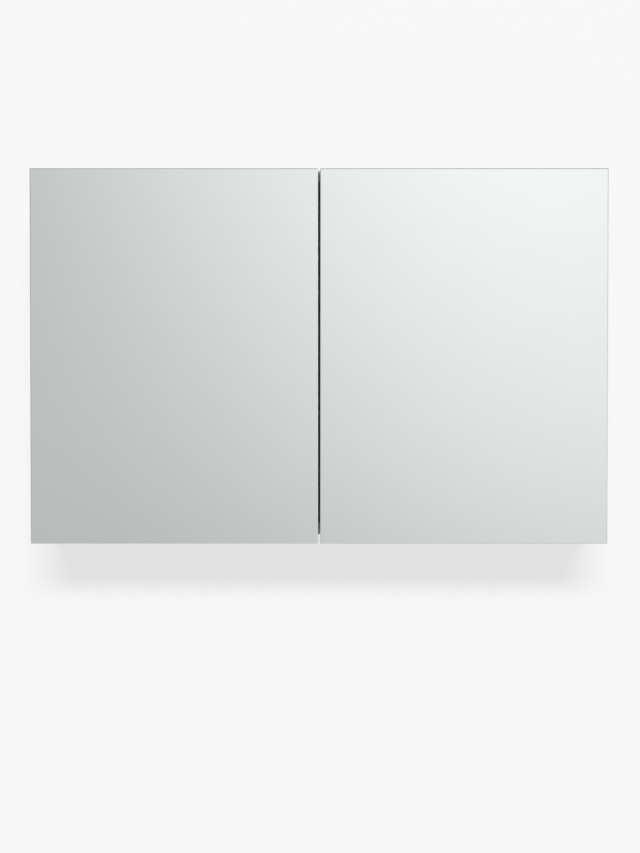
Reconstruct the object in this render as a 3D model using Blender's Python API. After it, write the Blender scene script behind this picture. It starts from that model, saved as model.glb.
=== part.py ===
"""Two-door mirrored wall cabinet, in metres, +Z up.

The wall is the plane y = 0 and the doors face -Y.  The origin is the centre of the back
panel's rear face.  Every visible object is one closed body.  The doors stand closed.
"""
import math

import bmesh
import bpy
from mathutils import Vector

MM = 0.001
GAP = 0.3                     # clearance kept between pieces that bear on each other

# carcass
WIDTH, HEIGHT, DEPTH = 800.0, 510.0, 108.0
BOARD = 16.0                  # foil-wrapped board
BACK_THICK, BACK_REBATE = 6.0, 8.0
NOTCH_WIDE, NOTCH_TALL = 66.0, 56.0   # top corners of the back panel, for the hangers

# doors
DOOR_WIDE, DOOR_TALL = 398.0, 519.0
DOOR_TOP = 253.0              # 2 mm below the carcass top; the bottom hangs 11 mm below it
DOOR_REVEAL, DOOR_STANDOFF = 0.5, 1.2
CORE_THICK, GLUE = 16.0, 0.3
MIRROR_THICK, INNER_THICK = 4.0, 3.0
MIRROR_ARRIS = 0.8
INNER_START, INNER_END = 58.0, 378.0          # across the door, from its hinged edge
INNER_LOW, INNER_HIGH = -222.0, 222.0

# shelves
SHELF_HEIGHTS = (-84.0, 84.0)
SHELF_THICK, SHELF_FRONT, SHELF_REAR = 5.0, -97.0, -7.0
PIN_ROWS = (-32.0, -78.0)
PIN_SPACING = 32.0            # each shelf can also be set one hole higher or lower
PIN_NOSE, PIN_SHANK = 3.2, 2.5

# concealed hinges: plan positions (u from the panel's outer face, v forward of the carcass)
HINGE_HEIGHTS = (-165.0, 165.0)
OUTER_PIVOT, INNER_PIVOT = (30.5, -13.3), (45.0, -3.8)       # on the arm
CUP_PIVOT, CUP_FAR_PIVOT = (7.5, 6.2), (12.5, 6.2)           # in the cup, door closed
OUTER_BEND = [(24.6, -1.6), (21.4, 6.1), (16.4, 11.2), (11.0, 10.8)]
INNER_BEND = [(37.0, -3.0), (30.0, 2.2), (20.0, 7.7)]
PIVOT_RADIUS = 1.2
EYE_RUNNING, EYE_OPEN, EYE_WALL = 1.25, 3.1, 0.85
CUP_CENTRE_U, CUP_OUTER, CUP_INNER = 21.0, 17.5, 16.7
CUP_DEPTH, CUP_FLOOR = 12.9, 0.7
LINK_NEAR, LINK_FAR = 0.5, 5.0                # the two links lie side by side in height
EAR_NEAR, EAR_FAR = 5.4, 7.4

MATERIALS = {
    "foil": ((0.86, 0.87, 0.87), 0.35, 0.0), "silver": ((0.80, 0.83, 0.82), 0.05, 1.0),
    "glass": ((0.72, 0.82, 0.80), 0.08, 0.0), "nickel": ((0.60, 0.60, 0.58), 0.25, 1.0),
    "zinc": ((0.50, 0.51, 0.52), 0.38, 1.0), "plastic": ((0.80, 0.80, 0.79), 0.45, 0.0),
    "rubber": ((0.75, 0.76, 0.77), 0.60, 0.0),
}


def clear_scene():
    for item in list(bpy.data.objects):
        bpy.data.objects.remove(item, do_unlink=True)


def give_material(item, kind):
    colour, rough, metal = MATERIALS[kind]
    material = bpy.data.materials.new(item.name + "_" + kind)
    material.use_nodes = True
    shader = material.node_tree.nodes["Principled BSDF"]
    shader.inputs["Base Color"].default_value = (*colour, 1.0)
    shader.inputs["Roughness"].default_value = rough
    shader.inputs["Metallic"].default_value = metal
    item.data.materials.clear()
    item.data.materials.append(material)


def finish(shape, name, kind=None, origin=(0.0, 0.0, 0.0)):
    """Turn a bmesh drawn in world millimetres into an object whose origin is `origin`."""
    bmesh.ops.remove_doubles(shape, verts=shape.verts, dist=1e-4)
    bmesh.ops.recalc_face_normals(shape, faces=shape.faces)
    bmesh.ops.translate(shape, verts=shape.verts, vec=-Vector(origin))
    bmesh.ops.scale(shape, verts=shape.verts, vec=(MM, MM, MM))
    mesh = bpy.data.meshes.new(name)
    shape.to_mesh(mesh)
    shape.free()
    item = bpy.data.objects.new(name, mesh)
    item.location = Vector(origin) * MM
    bpy.context.collection.objects.link(item)
    if kind:
        give_material(item, kind)
    return item


def prism(outline, low, high, place):
    """Extrude a plan outline; `place(a, b, c)` gives the world point of each corner."""
    shape = bmesh.new()
    lower = [shape.verts.new(place(a, b, low)) for a, b in outline]
    upper = [shape.verts.new(place(a, b, high)) for a, b in outline]
    shape.faces.new(lower)
    shape.faces.new(upper)
    for k in range(len(outline)):
        n = (k + 1) % len(outline)
        shape.faces.new((lower[k], lower[n], upper[n], upper[k]))
    return shape


def box(low, high, bevel=0.0):
    shape = bmesh.new()
    bmesh.ops.create_cube(shape, size=1.0)
    for vert in shape.verts:
        vert.co = [low[k] + (vert.co[k] + 0.5) * (high[k] - low[k]) for k in range(3)]
    if bevel:
        bmesh.ops.bevel(shape, geom=list(shape.edges), offset=bevel, segments=1, affect="EDGES")
    return shape


def circle(centre, radius, steps=24, start=0.0, sweep=360.0):
    full = abs(sweep) >= 360.0
    count = steps if full else steps + 1
    return [(centre[0] + radius * math.cos(math.radians(start + sweep * k / steps)),
             centre[1] + radius * math.sin(math.radians(start + sweep * k / steps)))
            for k in range(count)]


def strip(points, half):
    """Outline of a bent flat bar with round ends, from its centre line."""
    left, right = [], []
    for k, (x, y) in enumerate(points):
        before, after = points[max(k - 1, 0)], points[min(k + 1, len(points) - 1)]
        ahead = Vector((after[0] - x, after[1] - y))
        behind = Vector((x - before[0], y - before[1]))
        parts = [d.normalized() for d in (ahead, behind) if d.length > 1e-9]
        way = sum(parts, Vector((0.0, 0.0))).normalized()
        reach = half / max(0.5, parts[0].dot(way))
        left.append((x - way.y * reach, y + way.x * reach))
        right.append((x + way.y * reach, y - way.x * reach))
    first = math.degrees(math.atan2(left[0][1] - points[0][1], left[0][0] - points[0][0]))
    last = math.degrees(math.atan2(right[-1][1] - points[-1][1], right[-1][0] - points[-1][0]))
    start_cap = circle(points[0], half, 8, first, 180.0)[1:-1]
    end_cap = circle(points[-1], half, 8, last, 180.0)[1:-1]
    return right + end_cap + left[::-1] + start_cap


def world(side):
    """Map plan coordinates (u, v) and height to the world, on the left (-1) or right (+1)."""
    return lambda u, v, z: (side * (WIDTH / 2.0 - u), -(DEPTH + v), z)


def solid_result(item, tools, operation="DIFFERENCE"):
    """Apply Boolean tools to an object at once, and remove the tools."""
    for tool in tools:
        tool.hide_render = True
        tool.display_type = "WIRE"
        step = item.modifiers.new(tool.name, "BOOLEAN")
        step.operation = operation
        step.solver = "EXACT"
        step.object = tool
    bpy.context.view_layer.update()
    graph = bpy.context.evaluated_depsgraph_get()
    finished = bpy.data.meshes.new_from_object(item.evaluated_get(graph))
    item.modifiers.clear()
    item.data = finished
    for tool in tools:
        bpy.data.objects.remove(tool, do_unlink=True)
    return item


def rod(side, centre, radius, low, high, name, steps=24):
    """Upright rod at plan point `centre`."""
    return finish(prism(circle(centre, radius, steps), low, high, world(side)), name)


def cross_rod(x0, x1, y, z, radius, name, steps=20):
    """Rod along X."""
    return finish(prism(circle((y, z), radius, steps), x0, x1, lambda a, b, c: (c, a, b)), name)


# ---------------------------------------------------------------- carcass
def pin_height(level):
    """Axis of the pins that carry a shelf whose middle is at `level`."""
    return level - SHELF_THICK / 2 - GAP - PIN_NOSE


def side_panel(side, name):
    """Side board, rebated for the back panel and drilled for the shelf pins."""
    half = WIDTH / 2.0
    inner = half - BOARD
    plan = [(half, 0), (half, -DEPTH), (inner, -DEPTH), (inner, -BACK_THICK - GAP),
            (inner + BACK_REBATE, -BACK_THICK - GAP), (inner + BACK_REBATE, 0)]
    shape = prism(plan, -HEIGHT / 2, HEIGHT / 2, lambda a, b, c: (side * a, b, c))
    panel = finish(shape, name, "foil")
    bores = []
    for level in SHELF_HEIGHTS:
        for row in PIN_ROWS:
            for step, radius in ((-1, PIN_SHANK), (0, PIN_SHANK + GAP), (1, PIN_SHANK)):
                height = pin_height(level) + step * PIN_SPACING
                bores.append(cross_rod(side * (inner - 2), side * (inner + 10), row, height,
                                       radius, "bore"))
    return solid_result(panel, bores)


def level_panel(sign, name):
    """Top (+1) or bottom (-1) panel, rebated at the rear for the back panel."""
    outer, inner = sign * HEIGHT / 2, sign * (HEIGHT / 2 - BOARD)
    rebate = inner + sign * BACK_REBATE
    outline = [(0, outer), (-DEPTH, outer), (-DEPTH, inner), (-BACK_THICK - GAP, inner),
               (-BACK_THICK - GAP, rebate), (0, rebate)]
    reach = WIDTH / 2 - BOARD - GAP
    return finish(prism(outline, -reach, reach, lambda a, b, c: (c, a, b)), name, "foil")


def back_panel():
    across = WIDTH / 2 - BOARD + BACK_REBATE - GAP
    top = HEIGHT / 2 - BOARD + BACK_REBATE - GAP
    notch_x = WIDTH / 2 - BOARD - NOTCH_WIDE
    notch_z = HEIGHT / 2 - BOARD - NOTCH_TALL
    outline = [(-across, -top), (across, -top), (across, notch_z), (notch_x, notch_z),
               (notch_x, top), (-notch_x, top), (-notch_x, notch_z), (-across, notch_z)]
    shape = prism(outline, -BACK_THICK, 0.0, lambda a, b, c: (a, c, b))
    return finish(shape, "back_panel", "foil")


def glass_shelf(level, name):
    across = WIDTH / 2 - BOARD - 2.2
    low, high = level - SHELF_THICK / 2, level + SHELF_THICK / 2
    return finish(box((-across, SHELF_FRONT, low), (across, SHELF_REAR, high), 0.6), name, "glass")


def shelf_pin(side, level, row, name):
    """Stepped pin: shank in the side panel, collar on its face, nose under the shelf."""
    wall = WIDTH / 2 - BOARD
    height = pin_height(level)
    steps = [(9.5, 2.2), (9.2, PIN_SHANK), (-GAP, PIN_SHANK), (-GAP, 4.4), (-1.8, 4.4),
             (-1.8, PIN_NOSE), (-9.4, PIN_NOSE), (-9.8, 2.8)]
    shape = bmesh.new()
    rings = []
    for along, radius in steps:
        rings.append([shape.verts.new((side * (wall + along), y, z))
                      for y, z in circle((row, height), radius, 16)])
    for near, far in zip(rings, rings[1:]):
        for k in range(16):
            n = (k + 1) % 16
            shape.faces.new((near[k], near[n], far[n], far[k]))
    shape.faces.new(rings[0])
    shape.faces.new(rings[-1])
    return finish(shape, name, "nickel")


# ---------------------------------------------------------------- wall fixing
def hanger_body(side, name):
    wall = WIDTH / 2 - BOARD
    outer, inner = side * (wall - GAP), side * (wall - 25.0)
    x0, x1 = min(outer, inner), max(outer, inner)
    body = finish(box((x0, -46.0, 197.0), (x1, -8.0, 235.4), 1.0), name, "zinc")
    hollow = finish(box((x0 + 2.0, -40.0, 203.0), (x1 - 2.0, -6.0, 233.4)), "hollow")
    return solid_result(body, [hollow])


def hanger_hook(side, name):
    """Bent strip that drops behind the lip of the wall plate."""
    middle = side * (WIDTH / 2 - BOARD - 12.6)
    outline = [(-30.0, 231.0), (-5.9, 231.0), (-5.9, 232.6), (-3.7, 232.6), (-3.7, 226.3),
               (-2.1, 226.3), (-2.1, 234.6), (-30.0, 234.6)]
    outline = [(y, z - 1.8) for y, z in outline]
    shape = prism(outline, middle - 7.0, middle + 7.0, lambda a, b, c: (c, a, b))
    return finish(shape, name, "zinc")


def wall_plate(side, name):
    middle = side * (WIDTH / 2 - BOARD - 30.0)
    outline = [(0.0, 186.0), (0.0, 233.0), (-1.8, 233.0), (-1.8, 224.0), (-4.0, 224.0),
               (-4.0, 230.2), (-5.6, 230.2), (-5.6, 222.0), (-1.8, 222.0), (-1.8, 186.0)]
    shape = prism(outline, middle - 25.0, middle + 25.0, lambda a, b, c: (c, a, b))
    plate = finish(shape, name, "zinc")
    holes = [finish(prism(circle((middle + off, 204.0), 2.7, 20), -4.0, 2.0,
                          lambda a, b, c: (a, c, b)), "hole") for off in (-15.0, 15.0)]
    return solid_result(plate, holes)


# ---------------------------------------------------------------- hinges
def mounting_plate(side, level, name):
    """Cross-shaped plate on the inside of the side panel."""
    outline = [(-64, -7), (-40, -7), (-40, -20), (-26, -20), (-26, -7), (-20, -7), (-20, 7),
               (-26, 7), (-26, 20), (-40, 20), (-40, 7), (-64, 7)]
    place = world(side)
    shape = prism(outline, BOARD + GAP, 21.0, lambda a, b, c: place(c, a, level + b))
    return finish(shape, name, "nickel")


def hinge_arm(side, level, name):
    """Channel arm with two ears and the two pivots that carry the links."""
    web = [(21.3, -66.8), (23.3, -66.8), (23.3, -22.8), (21.3, -22.8)]
    arm = finish(prism(web, level - EAR_FAR, level + EAR_FAR, world(side)), name, "nickel")
    ear = [(21.3, -66.8), (27.0, -66.8), (31.0, -40.8), (40.0, -16.8), (48.0, -6.8)]
    ear += circle(INNER_PIVOT, 3.4, 6, -10.0, 110.0)
    ear += [(40.0, -1.4), (30.5, -8.8), (26.6, -11.2), (24.0, -16.8), (21.3, -22.8)]
    tools = []
    for sign in (-1, 1):
        low, high = sorted((sign * EAR_NEAR, sign * EAR_FAR))
        tools.append(finish(prism(ear, level + low, level + high, world(side)), "ear"))
    for k, pivot in enumerate((OUTER_PIVOT, INNER_PIVOT)):
        tools.append(rod(side, pivot, PIVOT_RADIUS, level - EAR_FAR - 0.6,
                         level + EAR_FAR + 0.6, "pivot"))
    return solid_result(arm, tools, "UNION")


def link_bar(side, level, near, far, half, pivots, bend, holes, name):
    """Bent link between two pivots; its origin is the pivot on the arm."""
    low, high = sorted((level + near, level + far))
    path = [pivots[0]] + bend + [pivots[1]]
    place = world(side)
    origin = place(*pivots[0], level)
    bar = finish(prism(strip(path, half), low, high, place), name, "nickel", origin)
    eyes = [finish(prism(circle(pivots[k], holes[k] + EYE_WALL, 24), low, high, place), "eye")
            for k in (0, 1)]
    solid_result(bar, eyes, "UNION")
    bores = [rod(side, pivots[k], holes[k], low - 1, high + 1, "bore") for k in (0, 1)]
    return solid_result(bar, bores)


def hinge_cup(side, level, name):
    """Pressed cup with a mounting flange; each far pivot spans its own half."""
    place = world(side)
    face = DOOR_STANDOFF
    profile = [(CUP_OUTER, -0.7), (CUP_OUTER, CUP_DEPTH), (0.0, CUP_DEPTH),
               (0.0, CUP_DEPTH - CUP_FLOOR), (CUP_INNER, CUP_DEPTH - CUP_FLOOR), (CUP_INNER, -0.7)]
    shape = bmesh.new()
    steps = 40
    rings = []
    for radius, depth in profile:
        count = steps if radius > 0 else 1
        rings.append([shape.verts.new(place(CUP_CENTRE_U + a, face + depth, level + b))
                      for a, b in circle((0.0, 0.0), radius, steps)[:count]])
    for near, far in zip(rings, rings[1:] + rings[:1]):
        for k in range(steps):
            n = (k + 1) % steps
            if len(near) > 1 and len(far) > 1:
                shape.faces.new((near[k], near[n], far[n], far[k]))
            elif len(near) > 1:
                shape.faces.new((near[k], near[n], far[0]))
            elif len(far) > 1:
                shape.faces.new((near[0], far[n], far[k]))
    cup = finish(shape, name, "nickel", place(*CUP_PIVOT, level))
    wing = [(22.0, -27.0), (36.0, -27.0), (41.0, -14.0), (41.0, 14.0), (36.0, 27.0), (22.0, 27.0)]
    flange = finish(prism(wing, face - 1.0, face - GAP, lambda a, b, c: place(a, c, level + b)),
                    "flange")
    rim = (CUP_OUTER + CUP_INNER) / 2.0
    mouth = prism(circle((CUP_CENTRE_U, 0.0), rim, steps, 4.5), face - 3.0, face + 2.0,
                  lambda a, b, c: place(a, c, level + b))
    solid_result(flange, [finish(mouth, "mouth")])
    near_pin = rod(side, CUP_PIVOT, PIVOT_RADIUS, level + 0.2, level + 9.3, "near_pin")
    far_pin = rod(side, CUP_FAR_PIVOT, PIVOT_RADIUS, level - 14.3, level - 0.2, "far_pin")
    return solid_result(cup, [flange, near_pin, far_pin], "UNION")


# ---------------------------------------------------------------- doors
def door_piece(side, name, kind, across, deep, low, high, bevel):
    """Flat piece of a door; its origin is the door's pivot line in the cups."""
    place = world(side)
    a = place(DOOR_REVEAL + across[0], deep[0], low)
    b = place(DOOR_REVEAL + across[1], deep[1], high)
    shape = box([min(p) for p in zip(a, b)], [max(p) for p in zip(a, b)], bevel)
    return finish(shape, name, kind, place(*CUP_PIVOT, 0.0))


def door(side, name):
    rear = DOOR_STANDOFF
    low = DOOR_TOP - DOOR_TALL
    full = (0.0, DOOR_WIDE)
    core = door_piece(side, name + "_core", "foil", full, (rear, rear + CORE_THICK),
                      low, DOOR_TOP, 0.5)
    pockets = []
    for level in HINGE_HEIGHTS:
        place = world(side)
        pocket = prism(circle((CUP_CENTRE_U, 0.0), CUP_OUTER + GAP, 40), rear - 4.0,
                       rear + CUP_DEPTH + GAP, lambda a, b, c, s=level: place(a, c, s + b))
        pockets.append(finish(pocket, "pocket"))
    solid_result(core, pockets)
    front = rear + CORE_THICK + GLUE
    door_piece(side, name + "_outer_mirror", "silver", full, (front, front + MIRROR_THICK),
               low, DOOR_TOP, MIRROR_ARRIS)
    door_piece(side, name + "_inner_mirror", "silver", (INNER_START, INNER_END),
               (rear - GLUE - INNER_THICK, rear - GLUE), INNER_LOW, INNER_HIGH, 0.6)


def bumper(side, sign, name):
    """Soft pad on the carcass edge where the free edge of a door lands."""
    x, z = side * 30.0, sign * (HEIGHT / 2 - BOARD / 2)
    shape = bmesh.new()
    rings = []
    for out, radius in ((GAP, 4.0), (0.7, 4.0), (0.9, 3.2)):
        rings.append([shape.verts.new((x + a, -(DEPTH + out), z + b))
                      for a, b in circle((0.0, 0.0), radius, 20)])
    for near, far in zip(rings, rings[1:]):
        for k in range(20):
            n = (k + 1) % 20
            shape.faces.new((near[k], near[n], far[n], far[k]))
    shape.faces.new(rings[0])
    shape.faces.new(rings[-1])
    return finish(shape, name, "rubber")


def build():
    clear_scene()
    level_panel(1, "top_panel")
    level_panel(-1, "bottom_panel")
    back_panel()
    for level, word in zip(SHELF_HEIGHTS, ("lower", "upper")):
        glass_shelf(level, word + "_glass_shelf")
    for side, hand in ((-1, "left"), (1, "right")):
        side_panel(side, hand + "_side_panel")
        for level, word in zip(SHELF_HEIGHTS, ("lower", "upper")):
            for row, place in zip(PIN_ROWS, ("rear", "front")):
                shelf_pin(side, level, row, f"{hand}_{word}_shelf_pin_{place}")
        hanger_body(side, hand + "_hanger_body")
        hanger_hook(side, hand + "_hanger_hook")
        wall_plate(side, hand + "_wall_plate")
        for sign, word in ((-1, "lower"), (1, "upper")):
            bumper(side, sign, f"{hand}_{word}_bumper")
        for level, word in zip(HINGE_HEIGHTS, ("lower", "upper")):
            stem = f"{hand}_{word}_hinge"
            mounting_plate(side, level, stem + "_plate")
            hinge_arm(side, level, stem + "_arm")
            hinge_cup(side, level, stem + "_cup")
            link_bar(side, level, LINK_NEAR, LINK_FAR, 1.5, (OUTER_PIVOT, CUP_PIVOT),
                     OUTER_BEND, (EYE_RUNNING, EYE_RUNNING), stem + "_outer_link")
            link_bar(side, level, -LINK_NEAR, -LINK_FAR, 1.4, (INNER_PIVOT, CUP_FAR_PIVOT),
                     INNER_BEND, (EYE_RUNNING, EYE_OPEN), stem + "_inner_link")
        door(side, hand + "_door")


build()
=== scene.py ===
"""Looks of a two-door mirrored wall cabinet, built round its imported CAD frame.

Metres, +Z up.  The wall is y = 0 and the doors face -Y.  Plan positions near the hinges are
given as (u, v) in millimetres: u inwards from a side panel's outer face, v forward of the
carcass front, as the CAD has them.
"""
import math
import random

import bmesh
import bpy
from mathutils import Matrix, Vector


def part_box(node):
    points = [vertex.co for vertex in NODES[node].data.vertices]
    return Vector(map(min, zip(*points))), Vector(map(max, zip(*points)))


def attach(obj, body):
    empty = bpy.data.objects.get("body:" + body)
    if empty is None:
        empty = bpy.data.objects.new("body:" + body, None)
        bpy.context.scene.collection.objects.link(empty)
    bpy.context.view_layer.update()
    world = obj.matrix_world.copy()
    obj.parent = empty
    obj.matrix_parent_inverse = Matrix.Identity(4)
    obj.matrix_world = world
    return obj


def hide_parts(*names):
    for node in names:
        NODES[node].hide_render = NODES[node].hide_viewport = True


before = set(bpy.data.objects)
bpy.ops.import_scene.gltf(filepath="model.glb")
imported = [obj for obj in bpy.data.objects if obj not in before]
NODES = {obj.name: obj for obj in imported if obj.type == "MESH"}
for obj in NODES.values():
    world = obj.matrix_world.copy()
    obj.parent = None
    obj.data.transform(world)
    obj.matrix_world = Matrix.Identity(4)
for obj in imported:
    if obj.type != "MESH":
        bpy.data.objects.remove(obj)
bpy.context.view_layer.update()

MM = 0.001
SIDES = {"left": -1, "right": 1}
LEVELS = ("lower", "upper")
PIN_ROWS = ("rear", "front")

# Millimetres, as the CAD has them.
HALF_WIDTH, CARCASS_DEPTH, BOARD = 400.0, 108.0, 16.0
PIN_COLLAR, PIN_NOSE = 3.4, 3.2
HINGE_LEVELS = {"lower": -165.0, "upper": 165.0}
OUTER_PIVOT, INNER_PIVOT = (30.5, -13.3), (45.0, -3.8)
CUP_MIDDLE, CUP_FLANGE_FACE, FLANGE_SCREW_REACH = 31.0, 0.2, 21.5
PLATE_FACE, PLATE_MIDDLE, PLATE_SCREW_REACH = 21.0, -33.0, 13.545
ARM_FACE, EAR_TOP = 23.3, 7.4
ARM_SCREWS = {"depth": -58.0, "side": -38.0}
HANGER_SCREW_INSET = 11.0
WALL_PLATE_X, WALL_PLATE_FACE = 354.0, 1.8
WALL_PLATE_SCREW_Z, WALL_PLATE_SCREW_REACH = 204.0, 15.0
# Middle and half size along X, Y and Z of the zone where the pin holes show raw chipboard.
CHIPBOARD_ZONE = ((HALF_WIDTH - BOARD * 0.62, 5.7), (-55.0, 40.0), (0.0, 200.0))

# ------------------------------------------------------------------ mesh helpers

SHARP_ANGLE = math.radians(30.0)


def plan(side, u, v, z):
    """World point of a plan position in millimetres."""
    return Vector((side * (HALF_WIDTH - u), -(CARCASS_DEPTH + v), z)) * MM


def shade_round(mesh):
    """Smooth shading that breaks at the sharp edges."""
    mesh.shade_smooth()
    mesh.set_sharp_from_angle(angle=SHARP_ANGLE)


def to_object(shape, name, materials, smooth=True):
    """Object of a bmesh, which is used up."""
    bmesh.ops.remove_doubles(shape, verts=shape.verts, dist=1e-7)
    bmesh.ops.recalc_face_normals(shape, faces=shape.faces)
    mesh = bpy.data.meshes.new(name)
    shape.to_mesh(mesh)
    shape.free()
    for material in materials:
        mesh.materials.append(material)
    item = bpy.data.objects.new(name, mesh)
    bpy.context.scene.collection.objects.link(item)
    if smooth:
        shade_round(mesh)
    return item


def lathe(profile, steps):
    """Solid of revolution about local Z; `profile` runs (radius, height) from axis to axis."""
    shape = bmesh.new()
    rings = []
    for radius, height in profile:
        if radius == 0.0:
            rings.append([shape.verts.new((0, 0, height))])
        else:
            angles = [math.tau * k / steps for k in range(steps)]
            rings.append([shape.verts.new((radius * math.cos(a), radius * math.sin(a), height))
                          for a in angles])
    for near, far in zip(rings, rings[1:]):
        for k in range(steps):
            n = (k + 1) % steps
            corners = [near[k % len(near)], near[n % len(near)], far[n % len(far)],
                       far[k % len(far)]]
            shape.faces.new(list(dict.fromkeys(corners)))
    return shape


def eased_box(low, high, ease):
    """Box between two corners, with its edges cut back by `ease`."""
    shape = bmesh.new()
    for vert in bmesh.ops.create_cube(shape, size=1.0)["verts"]:
        vert.co = [low[k] + (vert.co[k] + 0.5) * (high[k] - low[k]) for k in range(3)]
    bmesh.ops.bevel(shape, geom=shape.edges[:], offset=ease, segments=1, profile=0.5,
                    affect="EDGES", clamp_overlap=True, material=-1)
    return shape


def cut(item, tool):
    """Subtract `tool` from `item` at once, and remove the tool."""
    step = item.modifiers.new("cut", "BOOLEAN")
    step.operation, step.solver, step.object = "DIFFERENCE", "EXACT", tool
    graph = bpy.context.evaluated_depsgraph_get()
    finished = bpy.data.meshes.new_from_object(item.evaluated_get(graph))
    item.modifiers.clear()
    item.data = finished
    bpy.data.objects.remove(tool, do_unlink=True)
    shade_round(item.data)
    return item


def place_copy(pattern, name, where, outward, spin, body):
    """Copy a small pattern part to a point, with its local Z along `outward`."""
    item = bpy.data.objects.new(name, pattern.data.copy())
    bpy.context.scene.collection.objects.link(item)
    turn = Vector(outward).to_track_quat("Z", "Y").to_matrix().to_4x4()
    item.data.transform(Matrix.Translation(where) @ turn @ Matrix.Rotation(spin, 4, "Z"))
    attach(item, body)
    return item


# ------------------------------------------------------------------ materials


class Nodes:
    """Short-hand for building a node tree.  A value is a constant or another node's output."""

    def __init__(self, tree):
        self.tree = tree

    def give(self, socket, value):
        """Set or link one input."""
        if isinstance(value, bpy.types.NodeSocket):
            self.tree.links.new(value, socket)
        else:
            socket.default_value = value

    def feed(self, node, **values):
        """Give values to the inputs of those names, with _ for a space, or to properties."""
        for key, value in values.items():
            name = key.replace("_", " ")
            if name in node.inputs:
                self.give(node.inputs[name], value)
            else:
                setattr(node, key, value)
        return node

    def add(self, kind, **values):
        return self.feed(self.tree.nodes.new("ShaderNode" + kind), **values)

    def add_numbered(self, kind, numbers, values, **settings):
        """Add a node whose inputs share their names, so that they go by number."""
        node = self.add(kind, **settings)
        for number, value in zip(numbers, values):
            self.give(node.inputs[number], value)
        return node

    def compute(self, operation, *values):
        return self.add_numbered("Math", range(3), values, operation=operation).outputs[0]

    def remap(self, source, low, high, first, second):
        """Value that goes from `first` to `second` as the source goes from `low` to `high`."""
        return self.add("MapRange", Value=source, From_Min=low, From_Max=high, To_Min=first,
                        To_Max=second).outputs["Result"]


class Surface(Nodes):
    """One material and its Principled shader."""

    def __init__(self, name):
        self.material = bpy.data.materials.new(name)
        self.material.use_nodes = True
        super().__init__(self.material.node_tree)
        self.shader = self.tree.nodes["Principled BSDF"]

    def shade(self, **values):
        self.feed(self.shader, **values)

    def show(self, shader):
        """Put another shader in the place of the Principled one."""
        self.feed(self.tree.nodes["Material Output"], Surface=shader)

    def coordinates(self):
        return self.add("TexCoord").outputs["Object"]

    def noise(self, scale, detail=3.0, roughness=0.55):
        return self.add("TexNoise", Vector=self.coordinates(), Scale=scale, Detail=detail,
                        Roughness=roughness).outputs["Fac"]

    def ramp(self, source, low, high, first, second):
        """Colour that goes from `first` to `second` between two positions of a 0 to 1 value."""
        node = self.add("ValToRGB", Fac=source)
        for stop, position, colour in zip(node.color_ramp.elements, (low, high), (first, second)):
            stop.position = position
            stop.color = (*colour, 1.0)
        return node.outputs["Color"]

    def spread(self, source, first, second):
        """Stretch the middle of a noise, where nearly all of it lies, over a range."""
        return self.remap(source, 0.25, 0.75, first, second)

    def bump(self, source, strength, distance):
        bump = self.add("Bump", Height=source, Strength=strength, Distance=distance)
        self.shade(Normal=bump.outputs["Normal"])


def foil_surface(name, value):
    """Thermoformed white foil: faint orange peel and very slight tone drift."""
    n = Surface(name)
    warm = (value * 0.985, value * 0.985, value * 0.985 * 0.993)
    cool = (value * 0.995, value, value)
    n.shade(Base_Color=n.ramp(n.noise(6.0, 2.0), 0.35, 0.65, warm, cool),
            Roughness=n.spread(n.noise(60.0, 4.0), 0.33, 0.42), Specular_IOR_Level=0.45)
    n.bump(n.noise(1300.0, 2.0), 0.12, 0.00006)
    return n


def drilled_board_material(name, value):
    """White foil, with the raw chipboard showing inside the holes for the shelf pins."""
    n = foil_surface(name, value)
    foil = n.shader.inputs["Base Color"].links[0].from_socket
    chips = n.ramp(n.noise(900.0, 4.0), 0.35, 0.65, (0.16, 0.10, 0.055), (0.42, 0.30, 0.19))
    place = n.add("SeparateXYZ", Vector=n.coordinates()).outputs
    spans = (n.compute("ABSOLUTE", place["X"]), place["Y"], place["Z"])
    within = [n.compute("COMPARE", span, middle * MM, reach * MM)
              for span, (middle, reach) in zip(spans, CHIPBOARD_ZONE)]
    inside = n.compute("MULTIPLY", n.compute("MULTIPLY", within[0], within[1]), within[2])
    mix = n.add_numbered("Mix", (0, 6, 7), (inside, foil, chips), data_type="RGBA")
    n.shade(Base_Color=mix.outputs[2])
    return n.material


def silver_material():
    """Silvered float glass, seen from the front: a very slightly green mirror."""
    n = Surface("silvered_float_glass")
    haze = n.noise(11.0, 6.0, 0.62)
    n.shade(Base_Color=n.ramp(haze, 0.3, 0.7, (0.893, 0.928, 0.926), (0.901, 0.935, 0.934)),
            Roughness=n.spread(haze, 0.004, 0.016), Metallic=1.0)
    return n.material


def arris_material():
    """Polished bevel of the mirror glass."""
    n = Surface("polished_glass_arris")
    n.shade(Base_Color=n.ramp(n.noise(90.0), 0.3, 0.7, (0.76, 0.81, 0.80), (0.82, 0.87, 0.86)),
            Roughness=n.spread(n.noise(400.0), 0.08, 0.16), Metallic=0.9)
    return n.material


def glass_edge_material():
    """Ground and polished edge of clear float: deep bottle green."""
    n = Surface("ground_glass_edge")
    green = n.ramp(n.noise(35.0, 4.0, 0.6), 0.3, 0.7, (0.36, 0.55, 0.49), (0.50, 0.70, 0.63))
    n.shade(Base_Color=green, Roughness=n.spread(n.noise(700.0, 2.0), 0.14, 0.24),
            Transmission_Weight=0.25, IOR=1.52)
    return n.material


def backing_material():
    """Protective paint on the back of a mirror."""
    n = Surface("mirror_backing_paint")
    paint = n.ramp(n.noise(240.0, 5.0), 0.3, 0.7, (0.23, 0.25, 0.26), (0.30, 0.32, 0.33))
    n.shade(Base_Color=paint, Roughness=n.spread(n.noise(500.0, 2.0), 0.5, 0.65))
    return n.material


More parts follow.
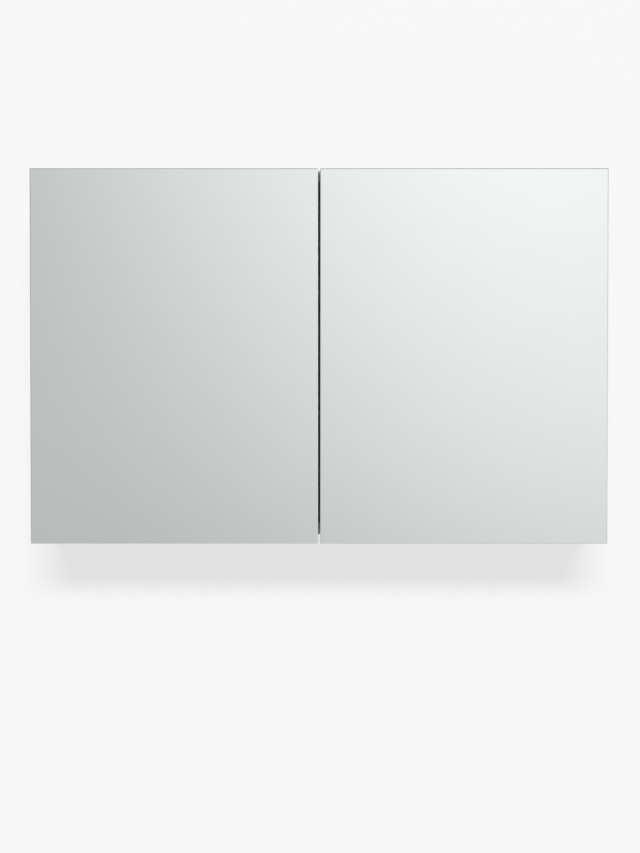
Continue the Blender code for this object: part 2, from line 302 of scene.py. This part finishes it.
def clear_glass_material():
    """Clear float for the shelves."""
    n = Surface("clear_float_glass")
    tint = n.ramp(n.noise(9.0, 2.0), 0.3, 0.7, (0.93, 0.975, 0.96), (0.95, 0.985, 0.972))
    n.shade(Base_Color=tint, Roughness=n.spread(n.noise(30.0, 5.0), 0.0, 0.025),
            Transmission_Weight=1.0, IOR=1.5)
    return n.material


def metal_material(name, dark, light, rough, grain, bump=0.06):
    """Plated or bright metal, with a grain of `grain` cells per metre."""
    n = Surface(name)
    pattern = n.noise(grain, 4.0, 0.6)
    n.shade(Base_Color=n.ramp(pattern, 0.3, 0.7, dark, light),
            Roughness=n.spread(pattern, *rough), Metallic=1.0)
    n.bump(pattern, bump, 0.00004)
    return n.material


def zinc_material():
    """Zinc plate with a faint crystal pattern."""
    n = Surface("zinc_plate")
    cells = n.add("TexVoronoi", Vector=n.coordinates(), Scale=260.0)
    cell = n.add("SeparateColor", Color=cells.outputs["Color"]).outputs
    n.shade(Base_Color=n.ramp(cell["Red"], 0.0, 1.0, (0.60, 0.615, 0.635), (0.66, 0.67, 0.68)),
            Roughness=n.spread(cell["Green"], 0.30, 0.38), Metallic=1.0)
    n.bump(n.noise(900.0), 0.08, 0.00004)
    return n.material


def soft_material(name, first, second, rough, through=0.0):
    """Clear or solid soft plastic; `through` is how much light it lets through."""
    n = Surface(name)
    n.shade(Base_Color=n.ramp(n.noise(120.0), 0.3, 0.7, first, second),
            Roughness=n.spread(n.noise(500.0), *rough), Transmission_Weight=through, IOR=1.42)
    n.bump(n.noise(1500.0, 2.0), 0.1, 0.00005)
    return n.material


FOIL = foil_surface("white_satin_foil", 0.80).material
BACK_FOIL = foil_surface("white_back_foil", 0.74).material
DRILLED = drilled_board_material("white_drilled_board", 0.80)
SILVER = silver_material()
ARRIS = arris_material()
GLASS_EDGE = glass_edge_material()
BACKING = backing_material()
CLEAR = clear_glass_material()
NICKEL = metal_material("nickel_plate", dark=(0.60, 0.585, 0.56), light=(0.68, 0.665, 0.64),
                        rough=(0.16, 0.27), grain=120.0)
BRUSHED = metal_material("pressed_nickel_strip", dark=(0.58, 0.57, 0.55), light=(0.65, 0.64, 0.62),
                         rough=(0.2, 0.3), grain=260.0, bump=0.03)
STEEL = metal_material("bright_screw_steel", dark=(0.56, 0.56, 0.56), light=(0.66, 0.66, 0.65),
                       rough=(0.2, 0.32), grain=300.0)
ZINC = zinc_material()
BUMPER = soft_material("clear_polyurethane", (0.78, 0.80, 0.81), (0.86, 0.87, 0.87),
                       rough=(0.25, 0.4), through=0.35)
SLEEVE = soft_material("clear_pin_sleeve", (0.82, 0.84, 0.84), (0.88, 0.89, 0.89),
                       rough=(0.2, 0.35), through=0.4)
TAPE = soft_material("mounting_tape", (0.30, 0.31, 0.32), (0.38, 0.39, 0.40), rough=(0.7, 0.85))


# ------------------------------------------------------------------ carried-over CAD nodes


def dress(node, material, bevel=0.0):
    """Give a CAD node its material, and ease its edges by `bevel` millimetres."""
    item = NODES[node]
    item.data.materials.clear()
    item.data.materials.append(material)
    if bevel:
        step = item.modifiers.new("eased_edges", "BEVEL")
        step.width, step.segments = bevel * MM, 2
        step.limit_method, step.angle_limit = "ANGLE", math.radians(50.0)
        step.harden_normals = True
    shade_round(item.data)


def dress_nodes():
    """Materials and eased edges of all the CAD nodes that keep their shape."""
    for node in ("top_panel", "bottom_panel"):
        dress(node, FOIL, 0.5)
    dress("back_panel", BACK_FOIL, 0.3)
    for hand in SIDES:
        dress(f"{hand}_side_panel", DRILLED, 0.5)
        dress(f"{hand}_door_core", FOIL)
        dress(f"{hand}_hanger_body", ZINC, 0.3)
        dress(f"{hand}_hanger_hook", STEEL, 0.25)
        dress(f"{hand}_wall_plate", ZINC, 0.15)
        for level in LEVELS:
            stem = f"{hand}_{level}_hinge"
            dress(stem + "_plate", NICKEL, 0.5)
            dress(stem + "_arm", BRUSHED, 0.2)
            dress(stem + "_cup", NICKEL)
            dress(stem + "_outer_link", BRUSHED, 0.2)
            dress(stem + "_inner_link", BRUSHED, 0.2)
            dress(f"{hand}_{level}_bumper", BUMPER)
            for row in PIN_ROWS:
                dress(f"{hand}_{level}_shelf_pin_{row}", NICKEL, 0.2)


# ------------------------------------------------------------------ glass

ARRIS_SLOPE = 0.47             # depth of a ground arris over its width
DUB_LOSS = 0.4                 # how much of an arris's width the corner's cut loses to it
LEAST_DUB = 0.2 * MM


def glass_sheet(name, low, high, front_arris, back_arris, dub, materials, face_axis=1):
    """Sheet of glass between two corners, with ground edges and its corners cut off by `dub`.

    Slot 0 is the face looking towards -axis, 1 the arris, 2 the flat edge, 3 the other face.
    """
    across, up = [k for k in range(3) if k != face_axis]
    shape = bmesh.new()

    def ring(inset, depth):
        a0, a1 = low[across] + inset, high[across] - inset
        b0, b1 = low[up] + inset, high[up] - inset
        d = max(dub - DUB_LOSS * inset, LEAST_DUB)
        verts = []
        for a, b in ((a0 + d, b0), (a1 - d, b0), (a1, b0 + d), (a1, b1 - d),
                     (a1 - d, b1), (a0 + d, b1), (a0, b1 - d), (a0, b0 + d)):
            point = [0.0, 0.0, 0.0]
            point[across], point[up], point[face_axis] = a, b, depth
            verts.append(shape.verts.new(point))
        return verts

    near, far = low[face_axis], high[face_axis]
    rings = [ring(front_arris, near), ring(0.0, near + front_arris * ARRIS_SLOPE),
             ring(0.0, far - back_arris * ARRIS_SLOPE), ring(back_arris, far)]
    shape.faces.new(rings[0]).material_index = 0
    shape.faces.new(rings[3]).material_index = 3
    for first, second, slot in zip(rings, rings[1:], (1, 2, 1)):
        for k in range(len(first)):
            n = (k + 1) % len(first)
            face = shape.faces.new((first[k], first[n], second[n], second[k]))
            face.material_index = slot
    return to_object(shape, name, materials, smooth=False)


def build_mirrors():
    """Silvered sheets in place of the four plain mirrors."""
    for hand in SIDES:
        body = f"{hand}_door"
        low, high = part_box(f"{hand}_door_outer_mirror")
        sheet = glass_sheet(f"{hand}_mirror_sheet", low, high, front_arris=1.2 * MM,
                            back_arris=0.5 * MM, dub=0.6 * MM,
                            materials=[SILVER, ARRIS, GLASS_EDGE, BACKING])
        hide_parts(f"{hand}_door_outer_mirror")
        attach(sheet, body)
        low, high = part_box(f"{hand}_door_inner_mirror")
        inner = glass_sheet(f"{hand}_inner_mirror_sheet", low, high, front_arris=0.4 * MM,
                            back_arris=0.8 * MM, dub=1.0 * MM,
                            materials=[BACKING, ARRIS, GLASS_EDGE, SILVER])
        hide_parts(f"{hand}_door_inner_mirror")
        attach(inner, body)


def build_bonds():
    """Thin adhesive layer between each mirror and its board, pressed slightly into both."""
    press, ease = 0.02 * MM, 0.08 * MM
    for hand in SIDES:
        outer_low, outer_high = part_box(f"{hand}_door_outer_mirror")
        core_low, core_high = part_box(f"{hand}_door_core")
        inner_low, inner_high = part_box(f"{hand}_door_inner_mirror")
        spans = (("outer", outer_low, outer_high, outer_high.y, core_low.y, 1.2 * MM),
                 ("inner", inner_low, inner_high, core_high.y, inner_low.y, 4.0 * MM))
        for word, low, high, front, rear, inset in spans:
            shape = eased_box((low.x + inset, front - press, low.z + inset),
                              (high.x - inset, rear + press, high.z - inset), ease)
            bond = to_object(shape, f"{hand}_{word}_mirror_bond", [TAPE])
            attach(bond, f"{hand}_door")


def build_shelves():
    """Clear sheets with ground edges in place of the two plain shelves."""
    for word in LEVELS:
        node = f"{word}_glass_shelf"
        low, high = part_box(node)
        sheet = glass_sheet(f"{word}_shelf_sheet", low, high, front_arris=0.5 * MM,
                            back_arris=0.5 * MM, dub=1.5 * MM,
                            materials=[CLEAR, GLASS_EDGE, GLASS_EDGE, CLEAR], face_axis=2)
        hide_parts(node)
        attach(sheet, "cabinet")


# ------------------------------------------------------------------ screws and small fittings


def cross_tool(reach, width, top, bottom):
    """Tapered cross that cuts a screw's recess."""
    shape = bmesh.new()
    rings = []
    for height, scale in ((top, 1.0), (bottom, 0.45)):
        far, near = reach * scale, width * 0.5 * (0.5 + 0.5 * scale)
        quarter = [(far, -near), (far, near), (near, near)]
        ring = []
        for turn in range(4):
            spin = Matrix.Rotation(turn * math.pi / 2, 2)
            ring += [shape.verts.new((*(spin @ Vector(p)), height)) for p in quarter]
        rings.append(ring)
    shape.faces.new(rings[0])
    shape.faces.new(rings[1])
    for k in range(len(rings[0])):
        n = (k + 1) % len(rings[0])
        shape.faces.new((rings[0][k], rings[0][n], rings[1][n], rings[1][k]))
    return to_object(shape, "cross_tool", [], smooth=False)


def screw_pattern(name, radius, height, shank):
    """Domed cross-head screw, seat at z = 0, shank below."""
    profile = [(0.0, -shank), (radius * 0.42, -shank), (radius * 0.42, 0.0), (radius * 0.9, 0.0),
               (radius, height * 0.12), (radius, height * 0.35), (radius * 0.93, height * 0.62),
               (radius * 0.74, height * 0.87), (radius * 0.5, height * 0.97), (0.0, height)]
    item = to_object(lathe(profile, 32), name, [STEEL])
    return cut(item, cross_tool(radius * 0.62, radius * 0.2, height * 1.2, -height * 0.35))


def rivet_pattern(name, radius, height):
    """Low domed rivet head, sunk 0.1 mm into what it sits on."""
    sunk = 0.1 * MM
    profile = [(0.0, -sunk), (radius, -sunk), (radius, height * 0.25),
               (radius * 0.85, height * 0.7), (radius * 0.5, height * 0.95), (0.0, height)]
    return to_object(lathe(profile, 24), name, [NICKEL])


def build_hinge_fittings(small, large, rivet):
    """Screws and riveted pivot ends; each screw's cross stands at an angle of its own."""
    rng = random.Random(7)
    for hand, side in SIDES.items():
        inward = (-side, 0, 0)
        for word, level in HINGE_LEVELS.items():
            stem = f"{hand}_{word}_hinge"
            for mark, sign in (("a", -1), ("b", 1)):
                where = plan(side, CUP_MIDDLE, CUP_FLANGE_FACE, level + sign * FLANGE_SCREW_REACH)
                place_copy(small, f"{stem}_flange_screw_{mark}", where, (0, 1, 0),
                           rng.uniform(0, 1.5), f"{hand}_door")
                where = plan(side, PLATE_FACE, PLATE_MIDDLE, level + sign * PLATE_SCREW_REACH)
                place_copy(small, f"{stem}_plate_screw_{mark}", where, inward,
                           rng.uniform(0, 1.5), "cabinet")
            for mark, v in ARM_SCREWS.items():
                place_copy(large, f"{stem}_{mark}_screw", plan(side, ARM_FACE, v, level), inward,
                           rng.uniform(0, 1.5), "cabinet")
            for mark, (u, v) in (("outer", OUTER_PIVOT), ("inner", INNER_PIVOT)):
                for end, sign in (("top", 1), ("base", -1)):
                    where = plan(side, u, v, level + sign * EAR_TOP)
                    place_copy(rivet, f"{stem}_{mark}_rivet_{end}", where, (0, 0, sign), 0.0,
                               "cabinet")


def build_hanger_fittings(screw):
    """Adjusting screws of the hangers, and the screws that hold the wall plates."""
    finish, outward = "zinc_plated_steel", (0, -1, 0)
    for hand, side in SIDES.items():
        low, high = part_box(f"{hand}_hanger_body")
        middle = (low.x + high.x) / 2
        inset = HANGER_SCREW_INSET * MM
        for mark, z, spin in (("lift", low.z + inset, 0.5), ("draw", high.z - inset, 1.1)):
            place_copy(screw, f"{hand}_hanger_{mark}_screw", Vector((middle, low.y, z)), outward,
                       spin, "cabinet")
        for mark, sign, spin in (("a", -1, 0.0), ("b", 1, 0.6)):
            x = side * WALL_PLATE_X + sign * WALL_PLATE_SCREW_REACH
            where = Vector((x, -WALL_PLATE_FACE, WALL_PLATE_SCREW_Z)) * MM
            place_copy(screw, f"{hand}_wall_plate_screw_{mark}", where, outward, spin, "cabinet")


def sleeve_ring(start, across, profile, steps=28):
    """Closed ring along X from `start`; `profile` runs (radius, distance along `across`)."""
    shape = bmesh.new()
    angles = [math.tau * k / steps for k in range(steps)]
    rings = [[shape.verts.new((start.x + across * along, start.y + radius * math.cos(a),
                               start.z + radius * math.sin(a))) for a in angles]
             for radius, along in profile]
    for near, far in zip(rings, rings[1:] + rings[:1]):
        for k in range(steps):
            n = (k + 1) % steps
            shape.faces.new((near[k], near[n], far[n], far[k]))
    return shape


def build_pin_sleeves():
    """Clear sleeve on the nose of each shelf pin, which stops the glass from sliding."""
    nose, wall, length, chamfer = PIN_NOSE * MM, 0.22 * MM, 5.0 * MM, 0.4 * MM
    profile = [(nose - wall, 0.0), (nose + wall, 0.0), (nose + wall, length - chamfer),
               (nose + 0.5 * wall, length), (nose - wall, length)]
    for hand, side in SIDES.items():
        for word in LEVELS:
            for row in PIN_ROWS:
                low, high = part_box(f"{hand}_{word}_shelf_pin_{row}")
                start = (low + high) / 2
                start.x = side * (HALF_WIDTH - BOARD - PIN_COLLAR) * MM
                sleeve = to_object(sleeve_ring(start, -side, profile),
                                   f"{hand}_{word}_pin_sleeve_{row}", [SLEEVE])
                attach(sleeve, "cabinet")


# ------------------------------------------------------------------ studio

WALL_Y, WALL_HALF_WIDTH, WALL_TOP = 0.0012, 6.0, 4.5
WALL_GLOW, WALL_GLOW_FALL = 0.729, 0.0125   # level with the cabinet, and its fall per metre up
FLOOR_Z, FLOOR_HALF_WIDTH = -1.35, 9.0

CARD_Y, CARD_BASE, CARD_WIDTH, CARD_HEIGHT = -4.6, -1.34, 14.0, 6.4
CARD_CELLS = (112, 56)
CARD_GLOW_X, CARD_GLOW_Z = (-2.2, 2.2), (-1.3, 1.9)     # the glow stays level beyond these
MIRROR_REFLECTANCE = 0.928

SKY_LEFT, SKY_RIGHT = 0.42, 0.68
OVERHEAD_SEEN, OVERHEAD_DIFFUSE = 0.70, 0.42            # share of the light kept overhead
BACKDROP_TONE = 0.86
LIGHT_AIM = Vector((0.0, -0.1, -0.25))

LENS, SENSOR = 46.0, 36.0
FRAME_HEIGHT = 1.1803          # metres of the doors' front plane that the frame shows
FRAME_MIDDLE = (0.00125, -0.1033)
CAMERA_PITCH = math.radians(0.78)


def stage_surface(name, colour, glow):
    """Matt paint with an even white glow of its own."""
    n = Surface(name)
    n.shade(Base_Color=(*colour, 1.0), Roughness=0.9, Specular_IOR_Level=0.0,
            Emission_Color=(1.0, 1.0, 1.0, 1.0), Emission_Strength=glow)
    return n


def wall_paint(name, tone, glows):
    """Paint on one face of the wall only, so that the wall hides nothing from behind."""
    n = stage_surface(name, (tone, tone, tone), 0.0)
    if glows:
        n.shade(Emission_Strength=n.add("Attribute", attribute_name="glow").outputs["Fac"])
    from_behind = n.add("NewGeometry").outputs["Backfacing"]
    sides = (n.shader.outputs[0], n.add("BsdfTransparent").outputs[0])
    n.show(n.add_numbered("MixShader", range(3), (from_behind, *sides)).outputs[0])
    return n.material


def add_glow(item, brightness):
    """Store the brightness at each vertex, for the material to read."""
    glow = item.data.attributes.new("glow", "FLOAT", "POINT")
    glow.data.foreach_set("value", [brightness(v.co.x, v.co.z) for v in item.data.vertices])


def wall_part(name, rectangles, paint):
    """Stage mesh in the wall's plane, facing the room, from (x0, x1, z0, z1) rectangles."""
    shape = bmesh.new()
    for x0, x1, z0, z1 in rectangles:
        corners = [(x0, WALL_Y, z0), (x1, WALL_Y, z0), (x1, WALL_Y, z1), (x0, WALL_Y, z1)]
        shape.faces.new([shape.verts.new(p) for p in corners])
    part = to_object(shape, name, [paint], smooth=False)
    for face in part.data.polygons:
        if face.normal.y > 0:
            face.flip()
    part.visible_shadow = False
    return part


def build_wall():
    """Evenly lit wall round the cabinet, and an unlit patch where the cabinet covers it.

    The patch hides nothing from diffuse or glossy rays, so the cabinet's back keeps its light.
    """
    low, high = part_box("back_panel")
    left, right, base, top = -WALL_HALF_WIDTH, WALL_HALF_WIDTH, FLOOR_Z, WALL_TOP
    around = [(left, right, base, low.z), (left, right, high.z, top),
              (left, low.x, low.z, high.z), (high.x, right, low.z, high.z)]
    wall = wall_part("studio_wall", around, wall_paint("studio_wall_paint", 0.04, True))
    add_glow(wall, lambda x, z: WALL_GLOW - WALL_GLOW_FALL * z)
    patch = wall_part("studio_wall_patch", [(low.x, high.x, low.z, high.z)],
                      wall_paint("covered_wall_paint", 0.60, False))
    patch.visible_diffuse = patch.visible_glossy = patch.visible_transmission = False
    return wall


def build_floor():
    """Pale floor below the cabinet."""
    shape = bmesh.new()
    reach = FLOOR_HALF_WIDTH
    corners = [(-reach, -reach), (reach, -reach), (reach, reach), (-reach, reach)]
    shape.faces.new([shape.verts.new((x, y, FLOOR_Z)) for x, y in corners])
    paint = stage_surface("studio_floor_paint", (0.52, 0.52, 0.515), 0.38).material
    floor = to_object(shape, "studio_floor", [paint], smooth=False)
    return floor


def card_glow(x, z):
    """Brightness of the light card: dim at the lower left, bright at the upper right."""
    x, z = [max(low, min(high, value))
            for value, (low, high) in ((x, CARD_GLOW_X), (z, CARD_GLOW_Z))]
    upward = z * (0.1178 - 0.0117 * z + 0.0042 * z * z)
    sideways = x * (0.1140 - 0.0096 * x - 0.0113 * x * x)
    crosswise = x * z * (0.0268 - 0.0071 * z - 0.0188 * x)
    return (0.6808 + upward + sideways + crosswise) / MIRROR_REFLECTANCE


def build_card():
    """Large soft light card behind the camera: the mirrors reflect it."""
    shape = bmesh.new()
    across, up = CARD_CELLS
    grid = [[shape.verts.new((-CARD_WIDTH / 2 + CARD_WIDTH * i / across, CARD_Y,
                              CARD_BASE + CARD_HEIGHT * j / up)) for i in range(across + 1)]
            for j in range(up + 1)]
    for j in range(up):
        for i in range(across):
            shape.faces.new((grid[j][i], grid[j + 1][i], grid[j + 1][i + 1], grid[j][i + 1]))
    n = Surface("studio_card_light")
    glow = n.add("Attribute", attribute_name="glow").outputs["Fac"]
    n.show(n.add("Emission", Strength=glow).outputs[0])
    card = to_object(shape, "studio_card", [n.material], smooth=False)
    add_glow(card, card_glow)
    card.visible_camera = card.visible_diffuse = card.visible_shadow = False


def linked_to(name, items, state="INCLUDE"):
    """Collection of the objects that a light is linked to, or that it leaves out."""
    group = bpy.data.collections.new(name)
    for item in items:
        group.objects.link(item)
    for link in group.collection_objects:
        link.light_linking.link_state = state
    return group


def add_soft_light(name, power, size, place, receivers):
    """Large soft light that no mirror shows, aimed at the cabinet."""
    light = bpy.data.lights.new(name, "AREA")
    light.shape, light.energy = "RECTANGLE", power
    light.size, light.size_y = size
    lamp = bpy.data.objects.new(name, light)
    bpy.context.scene.collection.objects.link(lamp)
    lamp.location = place
    aim = LIGHT_AIM - lamp.location
    lamp.rotation_euler = aim.to_track_quat("-Z", "Y").to_euler()
    lamp.visible_glossy = lamp.visible_camera = False
    lamp.light_linking.receiver_collection = receivers


def build_lights(wall, floor):
    """One light throws the soft shadow on the wall, and one models the cabinet itself.

    The second stands low to the right, so that none of it shines in between the doors; the
    right-hand side, which it would bleach, is left to the surroundings.  The third, behind
    the wall's plane, lights only the cabinet's back, top and sides.
    """
    add_soft_light("backdrop_light", power=11100.0, size=(7.4, 2.7), place=(0.4, -12.0, 7.465),
                   receivers=linked_to("lit_by_backdrop_light", [wall]))
    left_out = [wall, floor, NODES["right_side_panel"], NODES["right_door_core"]]
    add_soft_light("key_light", power=130.0, size=(2.0, 1.4), place=(2.9, -3.2, 0.5),
                   receivers=linked_to("not_lit_by_key_light", left_out, "EXCLUDE"))
    rear = [NODES[node] for node in ("back_panel", "top_panel")]
    rear += [NODES[f"{hand}_{part}"] for hand in SIDES
             for part in ("side_panel", "door_core", "wall_plate")]
    add_soft_light("rear_light", power=37.0, size=(1.6, 0.8), place=(0.0, 2.4, 0.9),
                   receivers=linked_to("lit_by_rear_light", rear))


def build_world():
    """Soft surroundings, dimmer to the left and overhead, behind a pale plain backdrop."""
    world = bpy.data.worlds.new("studio_world")
    bpy.context.scene.world = world
    world.use_nodes = True
    n = Nodes(world.node_tree)
    direction = n.add("SeparateXYZ", Vector=n.add("TexCoord").outputs["Generated"]).outputs
    ray = n.add("LightPath").outputs
    across = n.remap(direction["X"], -1.0, 1.0, SKY_LEFT, SKY_RIGHT)
    overhead = n.remap(ray["Is Diffuse Ray"], 0.0, 1.0, OVERHEAD_SEEN, OVERHEAD_DIFFUSE)
    upward = n.remap(direction["Z"], 0.1, 0.8, 1.0, overhead)
    light = n.feed(n.tree.nodes["Background"], Color=(0.97, 0.99, 1.0, 1.0),
                   Strength=n.compute("MULTIPLY", across, upward))
    backdrop = n.add("Background", Color=(BACKDROP_TONE, BACKDROP_TONE, BACKDROP_TONE, 1.0))
    shaders = (light.outputs[0], backdrop.outputs[0])
    mix = n.add_numbered("MixShader", range(3), (ray["Is Camera Ray"], *shaders))
    n.feed(n.tree.nodes["World Output"], Surface=mix.outputs[0])


def build_camera():
    """Camera square on to the doors, looking down very slightly."""
    data = bpy.data.cameras.new("camera")
    data.lens, data.sensor_width = LENS, SENSOR
    data.clip_start, data.clip_end = 0.05, 60.0
    camera = bpy.data.objects.new("camera", data)
    bpy.context.scene.collection.objects.link(camera)
    distance = LENS / SENSOR * FRAME_HEIGHT
    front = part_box("left_door_outer_mirror")[0].y
    x, z = FRAME_MIDDLE
    camera.location = (x, front - distance, z + distance * math.tan(CAMERA_PITCH))
    camera.rotation_euler = (math.pi / 2 - CAMERA_PITCH, 0.0, 0.0)
    bpy.context.scene.camera = camera
    bpy.context.scene.view_settings.view_transform = "Standard"


# ------------------------------------------------------------------ making

dress_nodes()
build_mirrors()
build_bonds()
build_shelves()
small_screw = screw_pattern("pattern_small", radius=3.3 * MM, height=1.1 * MM, shank=1.0 * MM)
large_screw = screw_pattern("pattern_large", radius=3.6 * MM, height=1.9 * MM, shank=1.4 * MM)
rivet_head = rivet_pattern("pattern_rivet", radius=2.3 * MM, height=0.75 * MM)
build_hinge_fittings(small_screw, large_screw, rivet_head)
build_hanger_fittings(large_screw)
for pattern in (small_screw, large_screw, rivet_head):
    bpy.data.objects.remove(pattern, do_unlink=True)
build_pin_sleeves()
studio_wall = build_wall()
studio_floor = build_floor()
build_card()
build_lights(studio_wall, studio_floor)
build_world()
build_camera()
